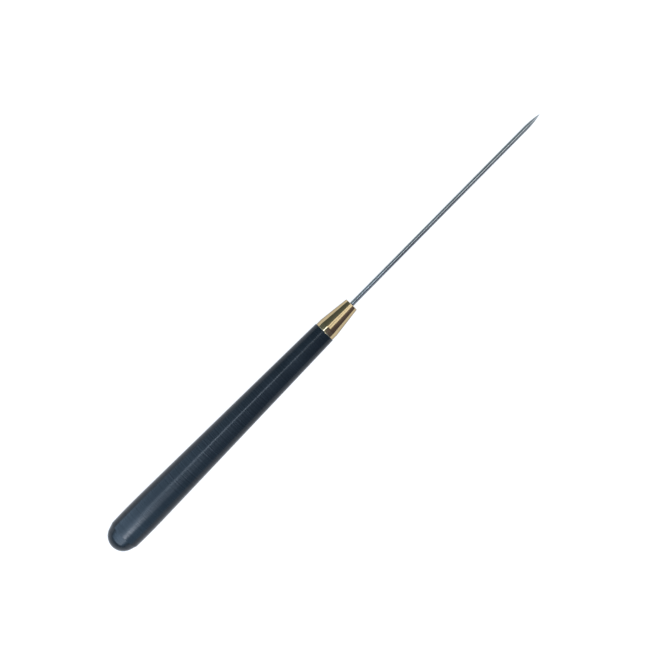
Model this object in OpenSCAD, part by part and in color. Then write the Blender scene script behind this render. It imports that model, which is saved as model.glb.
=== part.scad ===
// Scratch awl: a slim turned handle, a conical brass ferrule and a straight, round steel blade.
// The tool lies along X. The origin is on its axis at the ferrule's front face, where the blade
// comes out. The point is at +X and the rounded butt at -X. All sizes are in millimetres.

/* [Blade] */
// Length of blade in front of the ferrule, with its point
blade_reach = 100; // [60:1:120]
// Diameter of the round shank
shank_d = 1.8; // [1.4:0.1:2.0]
// Length of the needle point, which curves in from the shank
point_len = 8; // [5:0.5:15]
// Length of the tang, the tapering end inside the ferrule and the handle
tang_len = 40; // [30:1:60]
// Diameter of the tang at its thin end
tang_end_d = 1.2; // [1.0:0.1:1.4]
// Length of the two flats at the thin end of the tang
flat_len = 14; // [8:1:20]
// Thickness of the tang across its flats
flat_t = 0.8; // [0.6:0.1:0.9]

/* [Ferrule] */
// Length of the ferrule
ferrule_len = 14.4; // [13:0.1:18]
// Length of the straight band beside the handle
band_len = 2.3; // [1.5:0.1:3.5]
// Diameter of the straight band
band_d = 8.4; // [8.2:0.1:8.6]
// Diameter of the front face
nose_d = 5.5; // [5.2:0.1:6.0]

/* [Handle] */
// Length of the handle behind the ferrule
handle_len = 112.5; // [90:0.5:130]
// Diameter of the handle where it meets the ferrule
shoulder_d = 8.9; // [8.8:0.1:9.4]
// Diameter of the handle at its thickest, near the butt
crest_d = 13; // [12:0.1:16]
// Distance from the butt's end to the thickest place
crest_back = 14.5; // [12:0.5:20]
// Radius of the gentle swell through the thickest place
swell_r = 310; // [200:10:400]
// Length of the domed butt, up to the crisp ring that ends it
dome_len = 6.5; // [5:0.1:8]
// Radius of the dome's round end
dome_r = 5.9; // [5:0.1:5.9]

/* [Joint between handle and ferrule] */
// Diameter of the tenon turned on the handle's front end
tenon_d = 5.6; // [5.0:0.1:5.7]
// Length of the tenon
tenon_len = 9; // [7:0.1:9.5]
// Thickness of the adhesive around the tenon
tenon_glue = 0.1; // [0.05:0.05:0.1]
// Space for adhesive around the thick end of the tang
tang_glue = 0.2; // [0.1:0.05:0.3]

/* [Hidden] */

round_fn = 96;
edge = 0.2;           // broken outer edges
tenon_edge = 0.4;     // bevel that leads the tenon into the ferrule
end_glue = 0.2;       // adhesive in front of the tenon
nose_play = 0.03;     // between the blade and the ferrule's hole, on the radius
bore_spare = 2;       // depth of the bore beyond the tang's end
drill_angle = 118;    // of the bore's conical bottom
dome_steps = 16;
swell_steps = 6;
point_steps = 12;

shank_r = shank_d / 2;
tang_end_r = tang_end_d / 2;
point_r = (point_len * point_len + shank_r * shank_r) / shank_d;
shank_end = blade_reach - point_len;

band_r = band_d / 2;
nose_r = nose_d / 2;
hole_r = shank_r + nose_play;
cone_len = ferrule_len - band_len;
cone_slope = (band_r - nose_r) / cone_len;

tenon_r = tenon_d / 2;
cup_r = tenon_r + tenon_glue;
tenon_x = tenon_len - ferrule_len;
cup_x = tenon_x + end_glue;

bore_r = shank_r + tang_glue;
bore_x = -tang_len - bore_spare;
bore_tip_x = bore_x - bore_r / tan(drill_angle / 2);

shoulder_x = -ferrule_len;
shoulder_r = shoulder_d / 2;
butt_x = shoulder_x - handle_len;
dome_x = butt_x + dome_r;
ring_x = butt_x + dome_len;
crest_x = butt_x + crest_back;
swell_y = crest_d / 2 - swell_r;
ring_angle = asin((ring_x - crest_x) / swell_r);
ring_r = swell_y + swell_r * cos(ring_angle);

// Profiles are lists of [radius, place along the tool].

// Points of an arc about the centre c, from angle a to angle b
function arc(c, r, a, b, steps) = [
    for (i = [0 : steps])
        let (angle = a + (b - a) * i / steps)
        [c[0] + r * cos(angle), c[1] + r * sin(angle)]
];

// Angle, on a circle of radius r about c, where a straight line that ends at p leaves the circle
function leaves_at(p, c, r) = atan2(p[1] - c[1], p[0] - c[0]) - acos(r / norm(p - c));

// Turns a profile about the tool's axis
module turned(points) {
    rotate([0, 90, 0])
        rotate_extrude($fn = round_fn)
            polygon(points);
}

// Turned handle: domed butt with a crisp ring, slight swell, straight taper, shoulder and tenon,
// bored from the front for the tang.
module handle() {
    dome_c = [0, dome_x];
    swell_c = [swell_y, crest_x];
    ring = [ring_r, ring_x];
    shoulder = [shoulder_r, shoulder_x - edge];
    color([0.12, 0.15, 0.19])
        turned(concat(
            arc(dome_c, dome_r, -90, leaves_at(ring, dome_c, dome_r), dome_steps),
            arc(swell_c, swell_r, ring_angle, leaves_at(shoulder, swell_c, swell_r), swell_steps),
            [
                shoulder,
                [shoulder_r - edge, shoulder_x],
                [tenon_r, shoulder_x],
                [tenon_r, tenon_x - tenon_edge],
                [tenon_r - tenon_edge, tenon_x],
                [bore_r, tenon_x],
                [bore_r, bore_x],
                [0, bore_tip_x]
            ]
        ));
}

// Brass ferrule: straight band, cone and flat nose outside, a cup for the tenon inside, and a
// hole through the nose for the tang.
module ferrule() {
    color([0.83, 0.67, 0.38])
        turned([
            [hole_r, 0],
            [nose_r - edge, 0],
            [nose_r + edge * cone_slope, -edge],
            [band_r, -cone_len],
            [band_r, shoulder_x],
            [cup_r, shoulder_x],
            [cup_r, cup_x],
            [hole_r, cup_x]
        ]);
}

// Everything of the blade that is round: tang, shank and needle point
module round_blade() {
    turned(concat(
        [
            [0, -tang_len],
            [tang_end_r - edge, -tang_len],
            [tang_end_r, edge - tang_len],
            [shank_r, 0]
        ],
        [
            for (i = [0 : point_steps - 1])
                let (angle = asin(point_len / point_r) * i / point_steps)
                [shank_r - point_r * (1 - cos(angle)), shank_end + point_r * sin(angle)]
        ],
        [[0, blade_reach]]
    ));
}

// The two blocks that take the flats off the end of the tang
module flats() {
    for (side = [-1, 1])
        translate([-tang_len - 1, -shank_r, side > 0 ? flat_t / 2 : -flat_t / 2 - shank_r])
            cube([flat_len + 1, shank_d, shank_r]);
}

// Steel blade: a round shank with a needle point in front, and a tang that tapers back from the
// ferrule's front face to two flats, which keep it from turning in the adhesive.
module blade() {
    color([0.62, 0.66, 0.69])
        difference() {
            round_blade();
            flats();
        }
}

// Cured adhesive that fills the handle's bore around and behind the tang
module tang_adhesive() {
    color([0.80, 0.68, 0.42])
        difference() {
            turned([[0, bore_tip_x], [bore_r, bore_x], [bore_r, tenon_x], [0, tenon_x]]);
            blade();
        }
}

// Cured adhesive between the tenon and the ferrule's cup
module ferrule_adhesive() {
    color([0.80, 0.68, 0.42])
        turned([
            [hole_r, cup_x],
            [cup_r, cup_x],
            [cup_r, shoulder_x],
            [tenon_r, shoulder_x],
            [tenon_r, tenon_x - tenon_edge],
            [tenon_r - tenon_edge, tenon_x],
            [hole_r, tenon_x]
        ]);
}

handle();
ferrule();
blade();
tang_adhesive();
ferrule_adhesive();
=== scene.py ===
"""Looks of the scratch awl: its turned handle, brass ferrule, steel blade and cured adhesive.

The tool lies along X with its point at +X, and everything is in metres. The handle, ferrule and
blade are turned afresh with the CAD model's outline, finer steps, softened edges and real tool
marks. The two layers of adhesive inside stay as CAD nodes and get a material.
"""
import math

import bmesh
import bpy
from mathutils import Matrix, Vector


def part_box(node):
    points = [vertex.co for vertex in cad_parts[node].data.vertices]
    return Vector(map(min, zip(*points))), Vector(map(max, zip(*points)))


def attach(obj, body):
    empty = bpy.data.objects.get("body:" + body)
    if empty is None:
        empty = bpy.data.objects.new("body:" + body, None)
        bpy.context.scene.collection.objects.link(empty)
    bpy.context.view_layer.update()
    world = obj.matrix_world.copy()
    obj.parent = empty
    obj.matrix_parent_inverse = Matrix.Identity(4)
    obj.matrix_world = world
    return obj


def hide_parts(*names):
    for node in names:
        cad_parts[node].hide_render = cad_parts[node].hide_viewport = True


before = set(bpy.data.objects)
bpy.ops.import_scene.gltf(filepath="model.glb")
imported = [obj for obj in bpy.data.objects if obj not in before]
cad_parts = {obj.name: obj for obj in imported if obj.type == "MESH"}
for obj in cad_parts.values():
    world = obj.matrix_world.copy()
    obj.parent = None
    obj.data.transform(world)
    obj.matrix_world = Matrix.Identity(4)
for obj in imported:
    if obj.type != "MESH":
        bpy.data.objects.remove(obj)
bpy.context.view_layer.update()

MM = 0.001
BODY = "root"

# Places along the tool and radii, from the CAD nodes' boxes
handle_low, handle_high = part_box("handle")
ferrule_low, ferrule_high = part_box("ferrule")
blade_low, blade_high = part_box("blade")

butt_x = handle_low.x
tenon_x = handle_high.x
crest_r = handle_high.z
shoulder_x = ferrule_low.x
nose_x = ferrule_high.x
band_r = ferrule_high.z
tang_x = blade_low.x
tip_x = blade_high.x
shank_r = blade_high.y

# Handle, outside
CREST_BACK = 14.5 * MM      # from the butt's end to the thickest place
SWELL_R = 310 * MM          # arc through the thickest place
DOME_LEN = 6.5 * MM         # from the butt's end to the crisp ring
DOME_R = 5.9 * MM
SHOULDER_R = 4.45 * MM
RING_EDGE = 0.25 * MM       # rounding of the crisp ring
RING_SKIPS = 3              # steps of the swell that the ring's rounding replaces
SHOULDER_EDGE = 0.12 * MM   # rounding of the shoulder's edge
HANDLE_MARKS = 0.006 * MM   # depth of the cutter's marks
HANDLE_PITCHES = (0.93 * MM, 0.71 * MM, 1.37 * MM)

# Joint between handle, ferrule and blade
TENON_R = 2.8 * MM
TENON_BEVEL = 0.4 * MM
BORE_R = 1.1 * MM
BORE_SPARE = 2 * MM         # depth of the bore beyond the tang's end
DRILL_ANGLE = 118           # degrees, of the bore's conical bottom

# Ferrule
NOSE_R = 2.75 * MM
BAND_LEN = 2.3 * MM
CUP_R = 2.9 * MM
CUP_GAP = 0.2 * MM          # between the tenon's end and the cup's bottom
HOLE_R = 0.93 * MM
BAND_EDGE = 0.08 * MM
CONE_EDGE = 1.5 * MM        # rounding between band and cone
NOSE_EDGE = 0.15 * MM
FERRULE_MARKS = 0.0008 * MM
FERRULE_PITCHES = (0.61 * MM, 0.83 * MM)

# Blade
POINT_LEN = 8 * MM
TANG_END_R = 0.6 * MM
TANG_BEVEL = 0.2 * MM
FLAT_LEN = 14 * MM
FLAT_Z = 0.4 * MM           # half the tang's thickness across its flats
FLAT_STEP = 0.01 * MM       # length of the step from the flats to the round tang
BLADE_STEP = 1 * MM         # between rings of the straight shank

# Steps of the turned meshes
SIDES = 96
EDGE_STEPS = 5
DOME_STEPS = 48
SWELL_STEPS = 60
POINT_STEPS = 40
MARK_STEP = 0.14 * MM       # between rings where there are tool marks
SHARP_ANGLE = 35            # degrees, above which an edge is shaded as sharp


# ---------------------------------------------------------------- outlines
# An outline is a list of (place along the tool, radius).

def arc(centre, radius, start, end, steps):
    """Points of an arc. Angles are in radians, from +X towards the outside."""
    points = []
    for i in range(steps + 1):
        angle = start + (end - start) * i / steps
        points.append((centre[0] + radius * math.cos(angle), centre[1] + radius * math.sin(angle)))
    return points


def tangent_angle(point, centre, radius, side):
    """Angle on a circle at which a straight line to the point leaves it."""
    across = (point[0] - centre[0], point[1] - centre[1])
    return math.atan2(across[1], across[0]) + side * math.acos(radius / math.hypot(*across))


def rounded(before, corner, after, radius):
    """Points of a small arc that replaces a corner."""
    a, b, c = Vector(before), Vector(corner), Vector(after)
    back, on = (a - b).normalized(), (c - b).normalized()
    half = back.angle(on) / 2
    reach = radius / math.tan(half)
    centre = b + (back + on).normalized() * (radius / math.sin(half))
    first, last = b + back * reach - centre, b + on * reach - centre
    start = math.atan2(first.y, first.x)
    turn = first.angle_signed(last)
    return arc(centre, radius, start, start - turn, EDGE_STEPS)


def stepped(points, step):
    """The same outline with points added, so that no straight stretch is longer than step."""
    fine = [points[0]]
    for a, b in zip(points, points[1:]):
        pieces = max(1, math.ceil(math.dist(a, b) / step))
        fine += [(a[0] + (b[0] - a[0]) * i / pieces, a[1] + (b[1] - a[1]) * i / pieces)
                 for i in range(1, pieces + 1)]
    return fine


def marked(points, depth, pitches):
    """The outline with a cutter's shallow marks: waves of those pitches, across the surface."""
    moved = [points[0]]
    gone = 0
    for before, here, after in zip(points, points[1:], points[2:]):
        gone += math.dist(before, here)
        along = (Vector(after) - Vector(before)).normalized()
        wave = sum(math.sin(math.tau * gone / pitch + n) for n, pitch in enumerate(pitches))
        out = depth * wave / len(pitches)
        moved.append((here[0] - along.y * out, here[1] + along.x * out))
    return moved + [points[-1]]


# ---------------------------------------------------------------- meshes

def ring_of(bm, x, radius):
    """One vertex on the axis, or a ring of them round it."""
    if radius == 0:
        return [bm.verts.new((x, 0, 0))]
    turns = [math.tau * i / SIDES for i in range(SIDES)]
    return [bm.verts.new((x, radius * math.cos(a), radius * math.sin(a))) for a in turns]


def join_rings(bm, back, front):
    """Faces between two neighbouring rings, either of which may be a single vertex."""
    for i in range(SIDES):
        j = (i + 1) % SIDES
        near = [back[i % len(back)], back[j % len(back)]]
        far = [front[j % len(front)], front[i % len(front)]]
        bm.faces.new(list(dict.fromkeys(near + far)))


def turned(name, outline, closed=False):
    """A watertight piece turned about the tool's axis.

    An open outline starts and ends on the axis. A closed one joins its last ring to its first.
    """
    bm = bmesh.new()
    rings = [ring_of(bm, x, radius) for x, radius in outline]
    if closed:
        rings.append(rings[0])
    for back, front in zip(rings, rings[1:]):
        join_rings(bm, back, front)
    bmesh.ops.recalc_face_normals(bm, faces=bm.faces)
    mesh = bpy.data.meshes.new(name)
    bm.to_mesh(mesh)
    bm.free()
    mesh.shade_smooth()
    mesh.set_sharp_from_angle(angle=math.radians(SHARP_ANGLE))
    piece = bpy.data.objects.new(name, mesh)
    bpy.context.scene.collection.objects.link(piece)
    return piece


def place(piece, node, slot, look):
    """The piece stands for a CAD node, rides on the body, and gets its material."""
    piece.data.materials.append(look)
    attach(piece, BODY)
    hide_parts(node)


# ---------------------------------------------------------------- node helpers

class Nodes:
    """Shorthand for building a node tree."""

    def __init__(self, tree, coordinates):
        self.tree = tree
        self.place = self.add("ShaderNodeTexCoord").outputs[coordinates]

    def add(self, kind, **inputs):
        """A new node. Each input is a number, a colour or another node's output."""
        node = self.tree.nodes.new(kind)
        self.feed(node, **inputs)
        return node

    def feed(self, node, **inputs):
        """Sets or links a node's inputs. An underscore in a name stands for a space."""
        for name, value in inputs.items():
            socket = node.inputs[name.replace("_", " ")]
            if isinstance(value, bpy.types.NodeSocket):
                self.tree.links.new(value, socket)
            else:
                socket.default_value = value

    def along(self, axis):
        """The X, Y or Z of the place."""
        return self.add("ShaderNodeSeparateXYZ", Vector=self.place).outputs[axis]

    def noise(self, per_metre, detail=3.0):
        """Noise from 0 to 1 with that many features per metre along X, Y and Z."""
        place = self.add("ShaderNodeMapping", Vector=self.place, Scale=per_metre)
        node = self.add("ShaderNodeTexNoise", Vector=place.outputs[0], Scale=1.0, Detail=detail)
        return node.outputs["Fac"]

    def span(self, value, low, high, start=0.3, end=0.7):
        """value from start to end becomes low to high, and stays there beyond."""
        ends = {"From_Min": start, "From_Max": end, "To_Min": low, "To_Max": high}
        return self.add("ShaderNodeMapRange", Value=value, **ends).outputs["Result"]

    def sum(self, a, b):
        """The two outputs added."""
        node = self.add("ShaderNodeMath")
        self.tree.links.new(a, node.inputs[0])
        self.tree.links.new(b, node.inputs[1])
        return node.outputs[0]

    def colours(self, value, *stops):
        """value runs through the stops, which are (value, colour)."""
        low, high = stops[0][0], stops[-1][0]
        node = self.add("ShaderNodeValToRGB", Fac=self.span(value, 0, 1, low, high))
        ramp = node.color_ramp
        while len(ramp.elements) < len(stops):
            ramp.elements.new(1.0)
        for element, (where, colour) in zip(ramp.elements, stops):
            element.position = (where - low) / (high - low)
            element.color = (*colour, 1)
        return node.outputs["Color"]

    def blend(self, share, a, b, kind="MIX"):
        """Colour b over colour a, or added to it, to that share."""
        node = self.add("ShaderNodeMixRGB", Fac=share, Color1=a, Color2=b)
        node.blend_type = kind
        return node.outputs["Color"]

    def relief(self, height, depth):
        """A normal from a height of 0 to 1 that stands for that depth in metres."""
        return self.add("ShaderNodeBump", Height=height, Distance=depth).outputs["Normal"]


def new_material(name):
    """A material, its nodes, and the shader to feed."""
    material = bpy.data.materials.new(name)
    material.use_nodes = True
    nodes = Nodes(material.node_tree, "Object")
    return material, nodes, material.node_tree.nodes["Principled BSDF"]


# ---------------------------------------------------------------- materials

def black_resin():
    """Black turned resin: satin, with faint rings and duller bands from the lathe."""
    material, nodes, shader = new_material("black_resin")
    rings = nodes.noise((2000, 200, 200), detail=4.0)
    bands = nodes.noise((1300, 70, 70), detail=2.0)
    cloud = nodes.noise((90, 90, 90))
    colour = nodes.colours(cloud, (0.3, (0.004, 0.0058, 0.0072)), (0.7, (0.0052, 0.0074, 0.0092)))
    nodes.feed(
        shader,
        Base_Color=colour,
        Roughness=nodes.sum(nodes.span(rings, 0.13, 0.17), nodes.span(cloud, 0.01, 0.05)),
        IOR=1.3,
        Specular_IOR_Level=nodes.span(bands, 0.45, 0.55, 0.35, 0.65),
        Normal=nodes.relief(rings, 0.008 * MM),
    )
    return material


def polished_brass():
    """Turned and polished brass, a little dull with age."""
    material, nodes, shader = new_material("polished_brass")
    rings = nodes.noise((4000, 40, 40))
    cloud = nodes.noise((350, 350, 350), detail=4.0)
    nodes.feed(
        shader,
        Metallic=1.0,
        Base_Color=nodes.colours(cloud, (0.35, (0.455, 0.345, 0.19)), (0.7, (0.515, 0.39, 0.22))),
        Specular_Tint=(0.5, 0.5, 0.5, 1),
        Roughness=nodes.sum(nodes.span(rings, 0.05, 0.09), nodes.span(cloud, 0.03, 0.07)),
        Normal=nodes.relief(rings, 0.004 * MM),
    )
    return material


def ground_steel():
    """Round steel rod, ground lengthways and polished to a satin finish."""
    material, nodes, shader = new_material("ground_steel")
    streaks = nodes.noise((50, 2500, 2500), detail=2.0)
    cloud = nodes.noise((200, 500, 500), detail=4.0)
    nodes.feed(
        shader,
        Metallic=1.0,
        Base_Color=nodes.colours(cloud, (0.3, (0.325, 0.345, 0.345)), (0.7, (0.375, 0.40, 0.40))),
        Specular_Tint=(0.3, 0.3, 0.3, 1),
        Roughness=nodes.sum(nodes.span(streaks, 0.10, 0.16), nodes.span(cloud, 0.03, 0.06)),
    )
    return material


def cured_adhesive():
    """Cured amber epoxy, with small bubbles."""
    material, nodes, shader = new_material("cured_epoxy")
    cloud = nodes.noise((500, 500, 500), detail=4.0)
    bubbles = nodes.noise((2500, 2500, 2500), detail=1.0)
    nodes.feed(
        shader,
        Base_Color=nodes.colours(cloud, (0.3, (0.60, 0.45, 0.20)), (0.7, (0.76, 0.62, 0.36))),
        Roughness=0.25,
        IOR=1.55,
        Normal=nodes.relief(bubbles, 0.03 * MM),
    )
    return material


def pale_floor():
    """A board that glows almost white by itself, so that the awl's shadow on it stays faint."""
    material, nodes, shader = new_material("pale_floor")
    nodes.feed(
        shader,
        Base_Color=(0.12, 0.12, 0.12, 1),
        Roughness=0.9,
        Emission_Color=(0.85, 0.85, 0.87, 1),
        Emission_Strength=1,
    )
    return material


# ---------------------------------------------------------------- pieces

ring_x = butt_x + DOME_LEN
crest_x = butt_x + CREST_BACK
swell_centre = (crest_x, crest_r - SWELL_R)
ring_turn = math.asin((ring_x - crest_x) / SWELL_R)
ring_r = swell_centre[1] + SWELL_R * math.cos(ring_turn)
shoulder = (shoulder_x, SHOULDER_R)
taper_turn = tangent_angle(shoulder, swell_centre, SWELL_R, 1)
taper_start = (swell_centre[0] + SWELL_R * math.cos(taper_turn),
               swell_centre[1] + SWELL_R * math.sin(taper_turn))


def handle_outline():
    """Dome, crisp ring, swell, taper and shoulder outside; tenon and bore inside."""
    dome_centre = (butt_x + DOME_R, 0)
    ring = (ring_x, ring_r)
    dome_end = tangent_angle(ring, dome_centre, DOME_R, 1)
    dome = arc(dome_centre, DOME_R, math.pi, dome_end, DOME_STEPS)
    swell = arc(swell_centre, SWELL_R, math.pi / 2 - ring_turn, taper_turn, SWELL_STEPS)
    face = (shoulder_x, TENON_R)
    outside = (
        dome
        + rounded(dome[-1], ring, swell[1], RING_EDGE)
        + swell[RING_SKIPS:]
        + rounded(taper_start, shoulder, face, SHOULDER_EDGE)
    )
    bore_x = tang_x - BORE_SPARE
    inside = [
        face,
        (tenon_x - TENON_BEVEL, TENON_R),
        (tenon_x, TENON_R - TENON_BEVEL),
        (tenon_x, BORE_R),
        (bore_x, BORE_R),
        (bore_x - BORE_R / math.tan(math.radians(DRILL_ANGLE / 2)), 0),
    ]
    outside[0] = (butt_x, 0)    # exactly on the axis
    return marked(stepped(outside, MARK_STEP), HANDLE_MARKS, HANDLE_PITCHES) + inside


def ferrule_outline():
    """Band, cone and nose outside; hole and cup inside."""
    back = (shoulder_x, band_r)
    band_end = (shoulder_x + BAND_LEN, band_r)
    front = (nose_x, NOSE_R)
    outside = (
        rounded((shoulder_x, CUP_R), back, band_end, BAND_EDGE)
        + rounded(back, band_end, front, CONE_EDGE)
        + rounded(band_end, front, (nose_x, HOLE_R), NOSE_EDGE)
    )
    cup_x = tenon_x + CUP_GAP
    inside = [
        (nose_x, HOLE_R),
        (cup_x, HOLE_R),
        (cup_x, CUP_R),
        (shoulder_x, CUP_R),
    ]
    return marked(stepped(outside, MARK_STEP), FERRULE_MARKS, FERRULE_PITCHES) + inside


def blade_outline():
    """Tang, shank and needle point, before the tang gets its flats."""
    point_r = (POINT_LEN ** 2 + shank_r ** 2) / (2 * shank_r)
    centre = (tip_x - POINT_LEN, shank_r - point_r)
    point_turn = math.asin(POINT_LEN / point_r)
    point = arc(centre, point_r, math.pi / 2, math.pi / 2 - point_turn, POINT_STEPS)
    flats_end = tang_x + FLAT_LEN
    flats_r = TANG_END_R + (shank_r - TANG_END_R) * (flats_end - tang_x) / (nose_x - tang_x)
    tang = [
        (tang_x, 0),
        (tang_x, TANG_END_R - TANG_BEVEL),
        (tang_x + TANG_BEVEL, TANG_END_R),
        (flats_end - FLAT_STEP, flats_r),
        (flats_end, flats_r),
    ]
    shank = stepped([(nose_x, shank_r), point[0]], BLADE_STEP)
    return tang + shank + point[1:-1] + [(tip_x, 0)]


def flatten_tang(blade):
    """Presses the two flats into the end of the tang."""
    for vertex in blade.data.vertices:
        if vertex.co.x < tang_x + FLAT_LEN - FLAT_STEP / 2:
            vertex.co.z = max(-FLAT_Z, min(FLAT_Z, vertex.co.z))


grip = turned("turned_handle", handle_outline())
place(grip, "handle", "handle_black", black_resin())
cone = turned("brass_ferrule", ferrule_outline(), closed=True)
place(cone, "ferrule", "ferrule_brass", polished_brass())
needle = turned("steel_blade", blade_outline())
flatten_tang(needle)
place(needle, "blade", "blade_steel", ground_steel())

epoxy = cured_adhesive()
for node in ("tang_adhesive", "ferrule_adhesive"):
    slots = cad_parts[node].data.materials
    slots.clear()
    slots.append(epoxy)


# ---------------------------------------------------------------- stage, lights and camera

FLOOR_SIZE = 24
FLOOR_GAP = 0.01 * MM    # between the floor and the handle


def floor():
    """A wide plane that the handle lies on, along the straight stretch of its taper."""
    bpy.ops.mesh.primitive_plane_add(size=FLOOR_SIZE)
    board = bpy.context.object
    board.name = "floor"
    board.rotation_euler = (0, taper_turn - math.pi / 2, 0)
    board.location = (taper_start[0], 0, -taper_start[1] - FLOOR_GAP)
    board.data.materials.append(pale_floor())


CEILING = 1.2            # height of the lamps

# name, place on the ceiling, size, turn in degrees, radiance, colour
LAMPS = (
    ("strip", (-0.105, 0.355), (0.22, 0.11), 0, 10.5, (0.85, 1.0, 1.2)),
    ("middle", (0.14, 0.29), (0.20, 0.36), 0, 1.9, (1.0, 1.05, 1.1)),
    ("front_left", (0.34, 0.20), (0.22, 0.30), 0, 1.4, (1.0, 1.01, 1.0)),
    ("front_right", (0.34, -0.30), (0.22, 0.46), 0, 1.4, (1.0, 1.06, 1.06)),
    ("tip", (0.385, -0.01), (0.11, 0.12), 0, 1.7, (1.0, 1.08, 1.15)),
    ("rear", (-0.49, -0.37), (0.15, 0.52), -12, 11.0, (1.0, 1.05, 1.15)),
    ("rear_inner", (-0.32, 0.10), (0.08, 0.48), -27, 6.5, (0.85, 1.0, 1.15)),
)


def lamp(name, at, size, turn, radiance, colour):
    """A rectangular lamp on the ceiling that shines down."""
    light = bpy.data.lights.new(name, "AREA")
    light.shape = "RECTANGLE"
    light.size, light.size_y = size
    light.color = colour
    light.energy = radiance * math.pi * size[0] * size[1]
    holder = bpy.data.objects.new(name, light)
    holder.location = (*at, CEILING)
    holder.rotation_euler = (0, 0, math.radians(turn))
    holder.visible_camera = False
    bpy.context.scene.collection.objects.link(holder)


GLOW = 4                 # the room's colours below are shares of this radiance

# Colours across the room, each with its place from the right (-1) to the left (1): everywhere,
# the glow behind the butt, the window in it, and the glow ahead
OVERHEAD = ((-0.9, (0.029, 0.026, 0.037)), (-0.3, (0.040, 0.034, 0.047)),
            (0.3, (0.042, 0.055, 0.059)), (0.95, (0.031, 0.041, 0.044)))
SKY = ((-0.9, (0.23, 0.40, 0.58)), (0.3, (0.64, 0.93, 1.3)))
WINDOW = ((-0.58, (0, 0, 0)), (-0.5, (0.95, 1.05, 1.2)), (0, (0.52, 0.62, 0.77)), (0.5, (0, 0, 0)))
AHEAD = ((-0.8, (0.15, 0.16, 0.17)), (-0.4, (0.35, 0.375, 0.40)), (0.15, (0.35, 0.375, 0.40)),
         (0.45, (0.06, 0.065, 0.07)))
DUSK = (0.11, 0.14, 0.17, 1)        # low down behind the butt
HORIZON = (0.25, 0.275, 0.29, 1)    # all round, just above the floor

# Where each starts and where it is full: the X or Z of a direction of length 1. The dusk takes
# Z, less DUSK_SLOPE times how far back the direction points.
SKY_SPAN = (-0.035, -0.23)
WINDOW_SPAN = (-0.13, -0.25)
AHEAD_SPAN = (0.22, 0.5)
DUSK_SPAN = (-0.15, -0.37)
HORIZON_SPAN = (0.06, 0.02)
DUSK_SLOPE = 0.8


def room():
    """Dim surroundings, with a cool glow and a window behind the butt, and a faint glow ahead.

    The glow behind the butt stops short of the horizon. Just above the horizon the room is as
    pale as the floor, which seems to go on for ever.
    """
    world = bpy.data.worlds.new("room")
    world.use_nodes = True
    nodes = Nodes(world.node_tree, "Generated")
    x, y, z = nodes.along("X"), nodes.along("Y"), nodes.along("Z")
    light = nodes.colours(y, *OVERHEAD)
    for span, colours in ((SKY_SPAN, SKY), (WINDOW_SPAN, WINDOW), (AHEAD_SPAN, AHEAD)):
        light = nodes.blend(nodes.span(x, 0, 1, *span), light, nodes.colours(y, *colours), "ADD")
    above = nodes.sum(z, nodes.span(x, 0, -DUSK_SLOPE, 0, -1))
    light = nodes.blend(nodes.span(above, 0, 1, *DUSK_SPAN), light, DUSK)
    light = nodes.blend(nodes.span(z, 0, 1, *HORIZON_SPAN), light, HORIZON)
    nodes.feed(world.node_tree.nodes["Background"], Color=light, Strength=GLOW)
    bpy.context.scene.world = world


CAMERA_HEIGHT = 0.48
VIEW_WIDTH = 0.2500      # across the picture, at the height of the tool's axis
VIEW_CENTRE = (-0.0124, -0.0036)
VIEW_TURN = 45.36        # degrees, of the tool's axis in the picture


def camera():
    """Looks straight down, turned so that the tool lies aslant in the picture."""
    eye = bpy.data.cameras.new("camera")
    eye.sensor_width = 36
    eye.lens = eye.sensor_width * CAMERA_HEIGHT / VIEW_WIDTH
    holder = bpy.data.objects.new("camera", eye)
    holder.location = (*VIEW_CENTRE, CAMERA_HEIGHT)
    holder.rotation_euler = (0, 0, -math.radians(VIEW_TURN))
    bpy.context.scene.collection.objects.link(holder)
    bpy.context.scene.camera = holder


floor()
for facts in LAMPS:
    lamp(*facts)
room()
camera()
bpy.context.scene.view_settings.view_transform = "Standard"
